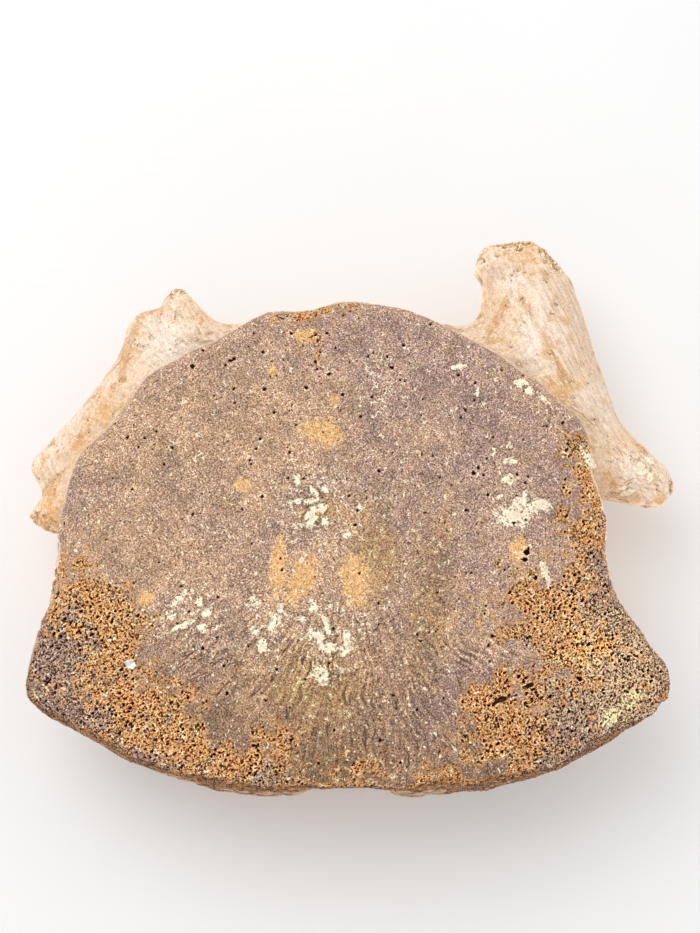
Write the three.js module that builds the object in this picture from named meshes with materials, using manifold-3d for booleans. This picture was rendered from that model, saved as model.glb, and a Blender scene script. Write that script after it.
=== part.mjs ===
// Neck vertebra of a mammoth, life size and broken as found. It lies on its rear face, front face up:
// the drum-shaped body (centrum), the two stumps of the arch that roofed the spinal cord, each with
// the upper root of a side process, and the two lower roots of the side processes.
// Millimetres, +Z up. +X is to the right of the front face, +Y is towards the animal's back.
// The bone is a smooth field of signed distances, skinned with triangles and parted by thin cuts.

import * as THREE from 'three';
import { ImprovedNoise } from 'three/addons/math/ImprovedNoise.js';
import { mergeVertices } from 'three/addons/utils/BufferGeometryUtils.js';
import Module from 'manifold-3d';

// Body of the vertebra
const FACE_WIDTH = 173;
const FACE_HEIGHT = 161.5;
const FACE_CENTRE = { x: -4.8, y: -19.8 };
const CENTRUM_LENGTH = 62;
const FACE_DOME = 2.5; // the front face bulges this far in the middle
const REAR_DISH = 7; // the rear face is hollowed this far in the middle
const DISH_REACH = 0.9; // and over this share of its width
const REAR_SHRINK = 3; // the rear rim lies this far inside the front rim
const REAR_SHIFT = 3.5; // and this far towards the back
const WAIST_DEPTH = 7; // the side draws in half way between the two faces
const RIM_ROUND = 3.2;
const RIM_FLATS = [ // flattened stretches of the upper rim, by the direction they face
  { angle: 45, distance: 61 },
  { angle: 75, distance: 59 },
  { angle: 112, distance: 60 },
  { angle: 135, distance: 65 },
];
const FLAT_BLEND = 14;
const DORSAL_NICK = { x: -17, y: 52.5, radius: 14, blend: 5 }; // worn place in the upper rim

// Lower roots of the side processes, level with the front face: rounded corners of its outline,
// each within straight edges given by the direction they face
const LOWER_ROOTS = [
  [
    { angle: 165, distance: 80.5 },
    { angle: 243.4, distance: 111.5 },
    { angle: 270, distance: 99.5 },
    { angle: 0, distance: -10 },
    { angle: 90, distance: -20 },
  ],
  [
    { angle: 37, distance: 43 },
    { angle: 0, distance: 105 },
    { angle: 296.6, distance: 113 },
    { angle: 270, distance: 99.5 },
    { angle: 180, distance: -10 },
    { angle: 90, distance: -20 },
  ],
];
const LOWER_ROOT_ROUND = 10;
const LOWER_ROOT_EDGE = 13;
const LOWER_ROOT_DROP = 5; // their front slopes down outside the rim
const DROP_SPAN = { from: 0.98, to: 1.4 }; // between these shares of the way from the middle to the rim
const LOWER_ROOT_FLOOR = 17; // height of their rear side at the rim
const LOWER_ROOT_RISE = 1; // and how steeply it rises outwards
const LOWER_ROOT_BLEND = 8;

// Arch stumps: tapered arms, z is the height of an arm's middle and flat its thickness over its width
const ARCH_LEFT = [
  { from: { x: -51, y: 30, z: 35, r: 24 }, to: { x: -57.5, y: 64.5, z: 35, r: 4.8 }, flat: 0.85 },
  { from: { x: -65, y: 28, z: 37, r: 16 }, to: { x: -67.5, y: 53.5, z: 34, r: 7 }, flat: 0.9 },
  { from: { x: -66, y: 30, z: 37, r: 15 }, to: { x: -98, y: 6, z: 36, r: 6 }, flat: 1.2 },
  { from: { x: -82, y: 2, z: 39, r: 12 }, to: { x: -98.5, y: -12, z: 36, r: 5.5 }, flat: 1.2 },
  { from: { x: -50, y: 40, z: 36, r: 14 }, to: { x: -37, y: 46, z: 36, r: 9 }, flat: 1 },
];
const ARCH_RIGHT = [
  { from: { x: 61, y: 28, z: 35, r: 25 }, to: { x: 59.5, y: 72, z: 34, r: 14.5 }, flat: 0.85 },
  { from: { x: 46.5, y: 76.5, z: 33, r: 5 }, to: { x: 48, y: 79, z: 33, r: 5.5 }, flat: 1.6 },
  { from: { x: 48, y: 40, z: 36, r: 14 }, to: { x: 32, y: 46, z: 36, r: 9 }, flat: 1 },
  { from: { x: 71, y: 14, z: 37.4, r: 17.5 }, to: { x: 97, y: 0.8, z: 35, r: 8.2 }, flat: 1.15 },
];
const ARM_BLEND = 6;
const ARCH_BLEND = 13;
const ARM_RIDGE = 1.6; // 2 is an oval section, 1 is a sharp ridge along the arm

// Planes where the arch broke off: a point, the direction the lost piece went, and the roughness
const BREAKS = [
  { x: 54, y: 85.3, angle: 95, rough: 2.2 },
  { x: 66, y: 79, angle: 46, rough: 2 },
  { x: -57.5, y: 69, angle: 100, rough: 1.2 },
  { x: -99, y: -14.5, angle: 262, rough: 0.8 },
];
const BREAK_REACH = 54; // a plane only cuts what lies this near to its point
const BREAK_EDGE = 2;
const BREAK_WAVE = 7;

// Places where the dense outer layer of the front face is gone, within straight edges as above. It is
// gone all round the lower roots too.
const ERODED_ZONES = [
  [{ angle: 46.4, distance: -80 }],
  [
    { angle: 180, distance: -64 },
    { angle: 90, distance: 6 },
  ],
  [
    { angle: 157.4, distance: -68 },
    { angle: 90, distance: -14 },
  ],
];
const ERODED_DEPTH = 1.1;
const ERODED_HOLLOWS = 1.3; // share of that depth by which it varies
const ERODED_WAVE = 14;
const ERODED_RAGGED = 6; // the zones' border wanders this far
const ERODED_SLOPE = 2.5;
const ERODED_BAND = { from: 12, to: 6 }; // the zones reach this far below the front face

const LUMP_HEIGHT = 0.9; // uneven surface all over
const LUMP_WAVE = 24;
const REST_WEAR = 0.9; // the rear rim is worn flat where the bone rests

const CELL = 4.6; // spacing of the grid that the skin is made on
const GRID_LOW = new THREE.Vector3(-116, -116, -12);
const GRID_HIGH = new THREE.Vector3(118, 104, 74);
const CUT_GAP = 0.3;
const CUT_CLEARANCE = 3; // the cuts run this far outside the rim of the front face
const CLOSEST = 0.04; // corners nearer than this are drawn together
const CUT_SIDES = 72;

const noise = new ImprovedNoise();
const halfWidth = FACE_WIDTH / 2;
const halfHeight = FACE_HEIGHT / 2;

// Smallest of two distances, with a fillet of about the given size where they meet.
function joined(a, b, fillet) {
  const share = Math.max(fillet - Math.abs(a - b), 0) / fillet;
  return Math.min(a, b) - (share * share * fillet) / 4;
}

// Largest of two distances, with the edge rounded off.
function cutBy(a, b, round) {
  return -joined(-a, -b, round);
}

// Uneven waves about -1 to 1 high, set askew so that they don't line up with the skin's grid.
function lumps(x, y, z, wave) {
  return noise.noise((x + 0.6 * y) / wave + 3.7, (y - 0.6 * x + 0.3 * z) / wave + 8.2, z / wave + 1.4);
}

// Distance to an ellipse round the origin.
function ellipseDistance(x, y, halfX, halfY) {
  const reach = Math.hypot(x / halfX, y / halfY);
  const steepness = Math.hypot(x / halfX ** 2, y / halfY ** 2);
  return steepness < 1e-9 ? -Math.min(halfX, halfY) : (reach * (reach - 1)) / steepness;
}

// How far along a tapered arm a point lies, from 0 at its root to 1 at its tip.
function shareAlong(x, y, { from, to }) {
  const dx = to.x - from.x;
  const dy = to.y - from.y;
  const share = ((x - from.x) * dx + (y - from.y) * dy) / (dx * dx + dy * dy);
  return THREE.MathUtils.clamp(share, 0, 1);
}

// Distance to a tapered arm with a ridge along its front and rear.
function armLimb(x, y, z, arm) {
  const share = shareAlong(x, y, arm);
  const { from, to, flat } = arm;
  const across = Math.hypot(
    x - THREE.MathUtils.lerp(from.x, to.x, share),
    y - THREE.MathUtils.lerp(from.y, to.y, share),
  );
  const rise = Math.abs(z - THREE.MathUtils.lerp(from.z, to.z, share)) / flat;
  const reach = (across ** ARM_RIDGE + rise ** ARM_RIDGE) ** (1 / ARM_RIDGE);
  return reach - THREE.MathUtils.lerp(from.r, to.r, share);
}

// Distance to the area within straight edges.
function withinEdges(x, y, edges, round) {
  return edges
    .map(({ angle, distance }) => {
      const turn = THREE.MathUtils.degToRad(angle);
      return x * Math.cos(turn) + y * Math.sin(turn) - distance;
    })
    .reduce((area, edge) => cutBy(area, edge, round));
}

// Height of the front face, which falls away on the lower roots.
function frontHeight(x, y) {
  const reach = Math.hypot((x - FACE_CENTRE.x) / halfWidth, (y - FACE_CENTRE.y) / halfHeight);
  const drop = LOWER_ROOT_DROP * THREE.MathUtils.smoothstep(reach, DROP_SPAN.from, DROP_SPAN.to);
  return CENTRUM_LENGTH + FACE_DOME * (1 - Math.min(reach * reach, 1)) - drop;
}

// Distance to the outline of the body, from the front rim (rearward 0) to the rear rim (rearward 1).
function rim(x, y, rearward) {
  const shrink = REAR_SHRINK * rearward;
  const py = y - FACE_CENTRE.y - REAR_SHIFT * rearward;
  const oval = ellipseDistance(x - FACE_CENTRE.x, py, halfWidth - shrink, halfHeight - shrink);
  const flattened = cutBy(oval, withinEdges(x, y, RIM_FLATS, FLAT_BLEND), FLAT_BLEND);
  const { radius, blend } = DORSAL_NICK;
  const nick = Math.hypot(x - DORSAL_NICK.x, y - DORSAL_NICK.y - radius) - radius;
  return cutBy(flattened, -nick, blend);
}

// The body, with no end yet at its front face.
function drumSide(x, y, z) {
  const rearward = 1 - z / CENTRUM_LENGTH;
  const waist = WAIST_DEPTH * Math.sin(Math.PI * THREE.MathUtils.clamp(rearward, 0, 1)) ** 2;
  const reach = Math.hypot(
    (x - FACE_CENTRE.x) / halfWidth,
    (y - FACE_CENTRE.y - REAR_SHIFT * rearward) / halfHeight,
  );
  const dish = REAR_DISH * (1 - THREE.MathUtils.smoothstep(reach, 0, DISH_REACH));
  return cutBy(rim(x, y, rearward) + waist, dish - z, 2 * RIM_ROUND);
}

// A lower root, with no end yet at the front face either.
function lowerRoot(x, y, z, edges) {
  const floor = LOWER_ROOT_FLOOR + LOWER_ROOT_RISE * Math.max(rim(x, y, 0), 0);
  return cutBy(withinEdges(x, y, edges, LOWER_ROOT_ROUND), floor - z, LOWER_ROOT_EDGE);
}

// Body and lower roots under one front face.
function centrum(x, y, z) {
  const roots = Math.min(...LOWER_ROOTS.map((edges) => lowerRoot(x, y, z, edges)));
  const side = joined(drumSide(x, y, z), roots, LOWER_ROOT_BLEND);
  return cutBy(side, z - frontHeight(x, y), 2 * RIM_ROUND);
}

function archStump(x, y, z, arms) {
  return arms
    .map((arm) => armLimb(x, y, z, arm))
    .reduce((whole, limb) => joined(whole, limb, ARM_BLEND));
}

function brokenOff(x, y, z, whole) {
  return BREAKS.reduce((left, { x: bx, y: by, angle, rough }) => {
    const turn = THREE.MathUtils.degToRad(angle);
    const beyond = (x - bx) * Math.cos(turn) + (y - by) * Math.sin(turn);
    const nearby = Math.hypot(x - bx, y - by) < BREAK_REACH;
    return nearby ? cutBy(left, beyond + rough * lumps(x, y, z, BREAK_WAVE), BREAK_EDGE) : left;
  }, whole);
}

// How far the surface has sunk where the dense outer layer is gone.
function erosion(x, y, z) {
  const { smoothstep } = THREE.MathUtils;
  const front = frontHeight(x, y);
  const nearFront = smoothstep(z, front - ERODED_BAND.from, front - ERODED_BAND.to);
  const zone = Math.min(...ERODED_ZONES.map((edges) => withinEdges(x, y, edges, LOWER_ROOT_ROUND)));
  const border = -zone - ERODED_RAGGED * lumps(x, y, z, ERODED_WAVE);
  const onFront = nearFront * smoothstep(border, -ERODED_SLOPE, ERODED_SLOPE);
  const belowMiddle = smoothstep(FACE_CENTRE.y - y, -ERODED_SLOPE, ERODED_SLOPE);
  const onRoots = belowMiddle * smoothstep(rim(x, y, 0), 0, 2 * ERODED_SLOPE);
  const depth = ERODED_DEPTH * (1 + ERODED_HOLLOWS * lumps(y, x, z, ERODED_WAVE));
  return Math.max(depth, 0) * Math.max(onFront, onRoots);
}

// The whole bone: under 0 inside, over 0 outside.
function bone(x, y, z) {
  const arches = brokenOff(x, y, z, Math.min(archStump(x, y, z, ARCH_LEFT), archStump(x, y, z, ARCH_RIGHT)));
  const smooth = joined(centrum(x, y, z), arches, ARCH_BLEND);
  return smooth + LUMP_HEIGHT * lumps(x, y, z, LUMP_WAVE) + erosion(x, y, z);
}

// Skins a field with triangles: one corner in each grid cell that the surface crosses, moved onto the
// surface, and one pair of triangles round each grid edge that it crosses.
function skin(field, low, high, cell) {
  const count = high.clone().sub(low).divideScalar(cell).ceil().addScalar(1);
  const stride = [1, count.x, count.x * count.y];
  const at = (i, j, k) => i + j * stride[1] + k * stride[2];
  const value = new Float64Array(count.x * count.y * count.z);
  for (let k = 0; k < count.z; k++)
    for (let j = 0; j < count.y; j++)
      for (let i = 0; i < count.x; i++)
        value[at(i, j, k)] = field(low.x + i * cell, low.y + j * cell, low.z + k * cell);

  const points = [];
  const cornerOf = new Map();
  for (let k = 0; k < count.z - 1; k++)
    for (let j = 0; j < count.y - 1; j++)
      for (let i = 0; i < count.x - 1; i++) {
        const crossing = meanCrossing(value, stride, at(i, j, k));
        if (!crossing) continue;
        crossing.add(new THREE.Vector3(i, j, k)).multiplyScalar(cell).add(low);
        cornerOf.set(at(i, j, k), points.length / 3);
        points.push(...settle(field, crossing, cell / 2).toArray());
      }

  const triangles = [];
  for (let k = 1; k < count.z - 1; k++)
    for (let j = 1; j < count.y - 1; j++)
      for (let i = 1; i < count.x - 1; i++) {
        const here = at(i, j, k);
        for (let axis = 0; axis < 3; axis++) {
          const inside = value[here] < 0;
          if (inside === value[here + stride[axis]] < 0) continue;
          const a = stride[(axis + 1) % 3];
          const b = stride[(axis + 2) % 3];
          const ring = [here - a - b, here - b, here, here - a].map((n) => cornerOf.get(n));
          if (!inside) ring.reverse();
          triangles.push(...shorterSplit(ring, points));
        }
      }
  const geometry = new THREE.BufferGeometry();
  geometry.setAttribute('position', new THREE.Float32BufferAttribute(points, 3));
  return geometry.setIndex(triangles);
}

// Mean of the places where the surface crosses the twelve edges of a cell, in cells, or null.
function meanCrossing(value, stride, origin) {
  const sum = new THREE.Vector3();
  let crossings = 0;
  for (let corner = 0; corner < 8; corner++)
    for (let axis = 0; axis < 3; axis++) {
      if (corner & (1 << axis)) continue;
      const bits = [corner & 1, (corner >> 1) & 1, (corner >> 2) & 1];
      const start = origin + bits[0] * stride[0] + bits[1] * stride[1] + bits[2] * stride[2];
      const v0 = value[start];
      const v1 = value[start + stride[axis]];
      if (v0 < 0 === v1 < 0) continue;
      bits[axis] = v0 / (v0 - v1);
      sum.add(new THREE.Vector3(...bits));
      crossings++;
    }
  return crossings ? sum.divideScalar(crossings) : null;
}

// Moves a point onto the surface along the field's slope, at most the given way.
function settle(field, point, furthest) {
  const probe = 0.2;
  const steps = 4;
  const start = point.clone();
  for (let step = 0; step < steps; step++) {
    const { x, y, z } = point;
    const here = field(x, y, z);
    const slope = new THREE.Vector3(
      field(x + probe, y, z) - field(x - probe, y, z),
      field(x, y + probe, z) - field(x, y - probe, z),
      field(x, y, z + probe) - field(x, y, z - probe),
    ).divideScalar(2 * probe);
    const size = Math.max(slope.lengthSq(), 0.05);
    point.addScaledVector(slope, -here / size);
    point.sub(start).clampLength(0, furthest).add(start);
  }
  return point;
}

// Splits a ring of four corners into two triangles along its shorter diagonal.
function shorterSplit([a, b, c, d], points) {
  const corner = (n) => new THREE.Vector3().fromArray(points, 3 * n);
  const first = corner(a).distanceToSquared(corner(c));
  const second = corner(b).distanceToSquared(corner(d));
  return first < second ? [a, b, c, a, c, d] : [a, b, d, b, c, d];
}

// Flattens what reaches below the resting level.
function wearFlat(geometry, level) {
  const position = geometry.getAttribute('position');
  for (let n = 0; n < position.count; n++) position.setZ(n, Math.max(position.getZ(n), level));
  return geometry;
}

const wasm = await Module();
wasm.setup();

function solidOf(geometry) {
  const bare = geometry.clone();
  bare.deleteAttribute('normal');
  bare.deleteAttribute('uv');
  const merged = mergeVertices(bare);
  return new wasm.Manifold(
    new wasm.Mesh({
      numProp: 3,
      vertProperties: new Float32Array(merged.getAttribute('position').array),
      triVerts: new Uint32Array(merged.index.array),
    }),
  );
}

// Triangles of a solid, with the corners that a cut left too close drawn together.
function geometryOf(solid) {
  const { vertProperties, triVerts } = solid.getMesh();
  const corner = (n) => new THREE.Vector3().fromArray(vertProperties, 3 * n);
  const meets = Array.from({ length: vertProperties.length / 3 }, (_, n) => n);
  const kept = (n) => (meets[n] === n ? n : kept(meets[n]));
  for (let n = 0; n < triVerts.length; n++) {
    const a = kept(triVerts[n]);
    const b = kept(triVerts[n % 3 === 2 ? n - 2 : n + 1]);
    if (corner(a).distanceTo(corner(b)) < CLOSEST) meets[Math.max(a, b)] = Math.min(a, b);
  }
  const index = [];
  for (let n = 0; n < triVerts.length; n += 3) {
    const face = [0, 1, 2].map((m) => kept(triVerts[n + m]));
    if (new Set(face).size === 3) index.push(...face);
  }
  const geometry = new THREE.BufferGeometry();
  geometry.setAttribute('position', new THREE.BufferAttribute(vertProperties, 3));
  geometry.setIndex(index);
  geometry.computeVertexNormals();
  return geometry;
}

// Point of the front rim in a direction, moved out by the given margin.
function rimPoint(turn, margin) {
  const along = new THREE.Vector2(Math.cos(turn), Math.sin(turn));
  const halvings = 40;
  let near = 0;
  let far = FACE_WIDTH;
  for (let n = 0; n < halvings; n++) {
    const middle = (near + far) / 2;
    const inside = rim(FACE_CENTRE.x + along.x * middle, FACE_CENTRE.y + along.y * middle, 0) < margin;
    near = inside ? middle : near;
    far = inside ? far : middle;
  }
  return along.multiplyScalar(near).add(FACE_CENTRE);
}

// Upright drum round the body, wider than its rim by the given margin.
function drum(margin) {
  const turns = Array.from({ length: CUT_SIDES }, (_, n) => (2 * Math.PI * n) / CUT_SIDES);
  const outline = new THREE.Shape(turns.map((turn) => rimPoint(turn, margin)));
  const depth = 4 * CENTRUM_LENGTH;
  const geometry = new THREE.ExtrudeGeometry(outline, { depth, bevelEnabled: false });
  return solidOf(geometry.translate(0, 0, -depth / 2));
}

function largest(solid) {
  return solid.decompose().reduce((a, b) => (a.volume() > b.volume() ? a : b));
}

// Parts the bone along the drum round its body. A process is known by the quarter that it lies in.
function partedBone() {
  const whole = largest(solidOf(wearFlat(skin(bone, GRID_LOW, GRID_HIGH, CELL), REST_WEAR)));
  const outside = whole.subtract(drum(CUT_CLEARANCE + CUT_GAP)).decompose();
  const quarter = (right, upper) =>
    outside
      .filter((piece) => {
        const { min, max } = piece.boundingBox();
        const isRight = min[0] + max[0] > 2 * FACE_CENTRE.x;
        const isUpper = min[1] + max[1] > 2 * FACE_CENTRE.y;
        return isRight === right && isUpper === upper;
      })
      .reduce((a, b) => (a.volume() > b.volume() ? a : b));
  return {
    centrum: largest(whole.intersect(drum(CUT_CLEARANCE))),
    neural_arch_left: quarter(false, true),
    neural_arch_right: quarter(true, true),
    transverse_root_left: quarter(false, false),
    transverse_root_right: quarter(true, false),
  };
}

const JOINT_FACE = { color: 0x8f7362, roughness: 0.85, metalness: 0 };
const SMOOTH_BONE = { color: 0xd6b994, roughness: 0.7, metalness: 0 };
const SPONGY_BONE = { color: 0x96683c, roughness: 0.9, metalness: 0 };

function materialFor(name) {
  if (name === 'centrum') return new THREE.MeshStandardMaterial(JOINT_FACE);
  return new THREE.MeshStandardMaterial(name.startsWith('neural_arch') ? SMOOTH_BONE : SPONGY_BONE);
}

const vertebra = new THREE.Group();
vertebra.name = 'mammoth_neck_vertebra';
for (const [name, solid] of Object.entries(partedBone())) {
  const mesh = new THREE.Mesh(geometryOf(solid), materialFor(name));
  mesh.name = name;
  vertebra.add(mesh);
}

// The origin is on the floor, under the middle of the bone's outline.
const box = new THREE.Box3().setFromObject(vertebra);
const middle = box.getCenter(new THREE.Vector3());
vertebra.children.forEach((mesh) => mesh.position.set(-middle.x, -middle.y, -box.min.z));

export default vertebra;
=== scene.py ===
# Mammoth neck vertebra, dressed: one skin of weathered bone in place of the five solids, with its
# pores, eroded spongy corners, rust stains and mineral crusts.
# Metres in Blender, in the solids' own frame. The relief is worked out in millimetres.
import math

import bmesh
import bpy
import numpy as np
from mathutils import Matrix, Vector, noise


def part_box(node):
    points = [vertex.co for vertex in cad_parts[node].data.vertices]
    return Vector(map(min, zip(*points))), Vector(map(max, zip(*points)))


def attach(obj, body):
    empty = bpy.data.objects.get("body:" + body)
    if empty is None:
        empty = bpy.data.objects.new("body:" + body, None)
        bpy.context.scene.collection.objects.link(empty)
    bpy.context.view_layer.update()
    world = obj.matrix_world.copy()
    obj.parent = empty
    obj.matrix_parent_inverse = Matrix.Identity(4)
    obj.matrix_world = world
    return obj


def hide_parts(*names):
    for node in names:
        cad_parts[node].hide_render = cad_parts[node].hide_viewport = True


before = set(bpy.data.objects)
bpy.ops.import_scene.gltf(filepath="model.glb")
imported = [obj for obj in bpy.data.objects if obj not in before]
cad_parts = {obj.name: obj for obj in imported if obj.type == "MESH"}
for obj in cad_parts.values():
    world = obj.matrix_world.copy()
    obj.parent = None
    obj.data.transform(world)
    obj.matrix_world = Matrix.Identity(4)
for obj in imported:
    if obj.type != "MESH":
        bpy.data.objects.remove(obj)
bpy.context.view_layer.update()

MM = 0.001

# Camera: where the middle of the photo looks, and from where
PHOTO_WIDTH = 700
PHOTO_HEIGHT = 933
FOCAL_PX = 1800
SENSOR_MM = 36
AIM = Vector((-0.66, 7.41, 59.1)) * MM
DISTANCE = 560 * MM
ELEVATION = math.radians(75)
BACK = Vector((0, -math.cos(ELEVATION), math.sin(ELEVATION)))
RIGHT = Vector((1, 0, 0))
UP = BACK.cross(RIGHT)
EYE = AIM + BACK * DISTANCE

# Skin
SWELL = 0.25 * MM  # closes the thin cuts between the solids
VOXEL = 0.8 * MM
SMOOTH_ROUNDS = 25
SMOOTH_SHARE = 0.5
SMOOTH_BACK = 0.52
UPPER_FACE_EDGE = 58.5  # the front face lies above this height in its upper half
LOWER_FACE_EDGE = 51.5  # and above this one in its lower half, where the roots slope down
REAR_EDGE = 12  # the rear face and its rim lie below this height
BODY_MIDDLE = (-5.5, -12.4)  # oval outline of the body
BODY_HALF = (86.5, 80.7)
PX_PER_MM = 3.2  # scale of the photo at the front face

# Eroded zones of the front face where spongy bone is bare: outlines in the photo's pixels
SPONGY_ZONES = {
    "left corner": [
        (10, 566), (62, 570), (95, 574), (104, 592), (133, 597), (146, 627), (144, 652), (160, 670),
        (205, 686), (209, 700), (199, 722), (226, 727), (262, 740), (273, 728), (284, 762), (298, 772),
        (288, 830), (10, 830),
    ],
    "right corner": [
        (584, 452), (562, 492), (556, 540), (559, 573), (533, 581), (500, 580), (494, 590), (512, 612),
        (518, 628), (537, 632), (548, 645), (548, 672), (520, 690), (464, 700), (470, 730), (474, 754),
        (480, 772), (492, 784), (500, 830), (700, 830), (700, 560), (640, 470),
    ],
    "lower edge": [(350, 782), (372, 778), (440, 778), (474, 786), (480, 830), (350, 830)],
    "upper nick": [(276, 280), (284, 316), (296, 334), (312, 342), (326, 332), (336, 308), (334, 280)],
}
# Parts of those zones that are grey instead of rusty
GREY_ZONES = {
    "left corner": [
        (10, 600), (60, 622), (88, 648), (97, 668), (101, 684), (84, 690), (87, 706), (113, 712),
        (113, 735), (128, 749), (166, 757), (178, 776), (286, 792), (286, 830), (10, 830),
    ],
    "right corner": [
        (592, 545), (588, 600), (598, 640), (588, 665), (560, 690), (553, 720), (548, 750), (520, 775),
        (520, 830), (700, 830), (700, 545),
    ],
}
# Rust stains: middle, half width and half height in pixels, and turn in degrees
RUST_STAINS = {
    "upper": (322, 433, 22, 13, 8),
    "thin": (278, 566, 9, 35, 8),
    "slanted": (303, 578, 14, 29, 24),
    "middle": (355, 582, 17, 28, -4),
    "left spot": (145, 598, 9, 8, 0),
    "right": (517, 550, 10, 14, 20),
    "right low": (478, 624, 4, 4, 0),
    "upper nick": (308, 336, 16, 8, 0),
    "upper left": (272, 371, 6, 5, 0),
    "upper right": (335, 399, 5, 4, 0),
    "left": (243, 485, 11, 7, 0),
}
# Mineral crusts: the same, and how much of the place they cover
CRUSTS = {
    "scab": (512, 515, 16, 8, -8, 1.2),
    "scab top": (518, 504, 5, 7, 0, 1.1),
    "scab spike": (525, 499, 3, 7, 0, 1.0),
    "scab bridge": (530, 509, 7, 6, 0, 1.2),
    "scab arm": (541, 505, 10, 5, 0, 1.2),
    "scab tail": (522, 525, 4, 4, 0, 1.0),
    "stroke": (546, 574, 4, 12, -20, 1.1),
    "rim": (520, 384, 7, 4, 0, 1.1),
    "rim low": (529, 391, 5, 4, 30, 1.1),
    "rim line": (544, 399, 10, 2, 47, 0.9),
    "upper chip": (457, 367, 7, 3, -20, 1.1),
    "upper dot": (476, 393, 3, 4, 0, 0.95),
    "bit top": (509, 447, 4, 2, 0, 0.95),
    "bit left": (495, 451, 3, 3, 0, 0.9),
    "bit middle": (511, 461, 7, 3, 0, 1.0),
    "bit low": (509, 480, 6, 5, 40, 1.1),
    "dash": (497, 498, 8, 2, -30, 0.85),
    "upper flecks": (376, 382, 16, 32, 0, 0.34),
    "branch stroke": (314, 492, 7, 3, 60, 1.1),
    "branch blob": (325, 490, 4, 4, 0, 1.0),
    "branch arc": (312, 500, 9, 3, -12, 1.1),
    "branch body": (319, 509, 8, 5, -20, 1.1),
    "branch left": (310, 515, 6, 4, -30, 1.1),
    "branch low": (312, 521, 8, 3, -40, 1.05),
    "branch right": (325, 520, 6, 3, 70, 1.05),
    "branch far": (297, 480, 3, 6, 0, 0.95),
    "branch side": (299, 501, 4, 3, 0, 0.9),
    "middle dot": (360, 508, 3, 4, 0, 0.9),
    "middle low": (346, 535, 4, 4, 0, 0.95),
    "around branches": (316, 508, 34, 36, 0, 0.3),
    "left top": (189, 592, 5, 3, 0, 0.95),
    "left first": (177, 601, 6, 4, -30, 1.05),
    "left second": (171, 615, 5, 5, 0, 1.0),
    "left stroke": (183, 626, 13, 3, -22, 1.05),
    "left third": (199, 602, 4, 5, 0, 1.0),
    "left fourth": (207, 613, 6, 4, -50, 1.05),
    "left low": (203, 628, 6, 5, 0, 1.0),
    "around left": (188, 612, 36, 26, 0, 0.3),
    "inner top": (255, 601, 6, 6, 0, 0.8),
    "inner stroke": (273, 623, 4, 11, 10, 1.1),
    "inner right": (280, 609, 5, 4, -40, 1.0),
    "inner low": (262, 645, 5, 7, 20, 1.1),
    "inner left": (254, 630, 5, 4, 0, 0.95),
    "around inner": (266, 622, 24, 34, 0, 0.3),
    "lower top": (313, 607, 4, 7, 0, 1.0),
    "lower left": (316, 637, 8, 8, 0, 1.0),
    "lower middle": (328, 629, 4, 9, -20, 1.05),
    "lower base": (328, 648, 8, 6, 0, 1.1),
    "lower right": (345, 647, 5, 9, 20, 1.05),
    "lower far": (346, 633, 4, 5, 0, 1.0),
    "lower first": (301, 619, 5, 4, 0, 0.9),
    "around lower": (330, 634, 36, 36, 0, 0.3),
    "lower clump": (321, 674, 8, 9, 0, 1.15),
    "chip": (130, 664, 4, 3.5, 30, 2.4),
    "corner streak": (632, 699, 14, 7, -40, 1.0),
    "corner streak low": (611, 718, 12, 7, -45, 1.05),
    "process rim": (588, 458, 11, 3, 60, 1.3),
    "process scab": (641, 469, 6, 5, 45, 1.35),
    "process scab tail": (650, 478, 3, 5, 10, 1.0),
    "process upper": (649, 460, 4, 3, 45, 1.2),
    "process low": (627, 493, 8, 3, -10, 1.3),
    "process white": (622, 488, 4, 2, 0, 1.0),
}
# Olive and tan tints: middle, half width and half height in pixels, and turn in degrees
OLIVE_TINTS = {
    "middle": (432, 600, 26, 95, 6),
    "lower": (330, 765, 80, 28, 0),
    "upper branches": (322, 510, 24, 22, 0),
    "lower middle": (316, 690, 60, 60, 0),
    "right of middle": (374, 556, 26, 50, 0),
}
CORNER_TINT = {"right corner": (622, 668, 50, 60, -20)}
TAN_TINTS = {
    "left": (190, 440, 140, 70, 0),
    "left low": (150, 540, 90, 50, 0),
    "lower middle": (290, 670, 80, 80, 0),
    "right of middle": (372, 560, 40, 60, 0),
    "left border": (180, 650, 50, 40, 30),
    "lower left": (240, 720, 60, 40, 0),
}
# Colours of the arch stumps, the same way, and lines along them with their half width in pixels
PALE_SPOTS = {
    "left": (167, 345, 22, 30, 0),
    "right upper": (512, 284, 10, 17, 0),
    "right middle": (531, 336, 14, 27, 0),
    "process": (632, 470, 24, 16, 30),
    "process flake": (630, 485, 8, 5, 20),
    "process flake low": (648, 492, 9, 4, 20),
}
OCHRE_SPOTS = {
    "left peak": (162, 311, 6, 5, 0),
    "left arm": (102, 410, 14, 20, 35),
    "left arm low": (78, 445, 14, 20, 35),
    "left tip": (50, 508, 18, 22, 0),
    "right top": (526, 252, 24, 15, 20),
    "right spot": (564, 320, 8, 6, 0),
    "right dot": (554, 348, 4, 4, 0),
    "right low dot": (581, 384, 5, 5, 0),
    "right band": (556, 389, 24, 9, 42),
    "process": (612, 483, 8, 7, 0),
    "process top": (609, 474, 8, 3, 0),
    "process tip": (661, 502, 9, 6, 20),
}
DULL_SPOTS = {
    "right top": (514, 258, 16, 16, 0),
    "right facet": (578, 330, 26, 60, -15),
    "right neck": (590, 420, 16, 36, -30),
    "left ridge": (178, 318, 9, 10, 0),
}
OCHRE_LINES = [
    ([(155, 308), (142, 316), (124, 353), (122, 378)], 8.0),
    ([(510, 290), (504, 310), (489, 330)], 8.0),
    ([(524, 302), (534, 322), (552, 352), (566, 384)], 8.0),
]
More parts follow.
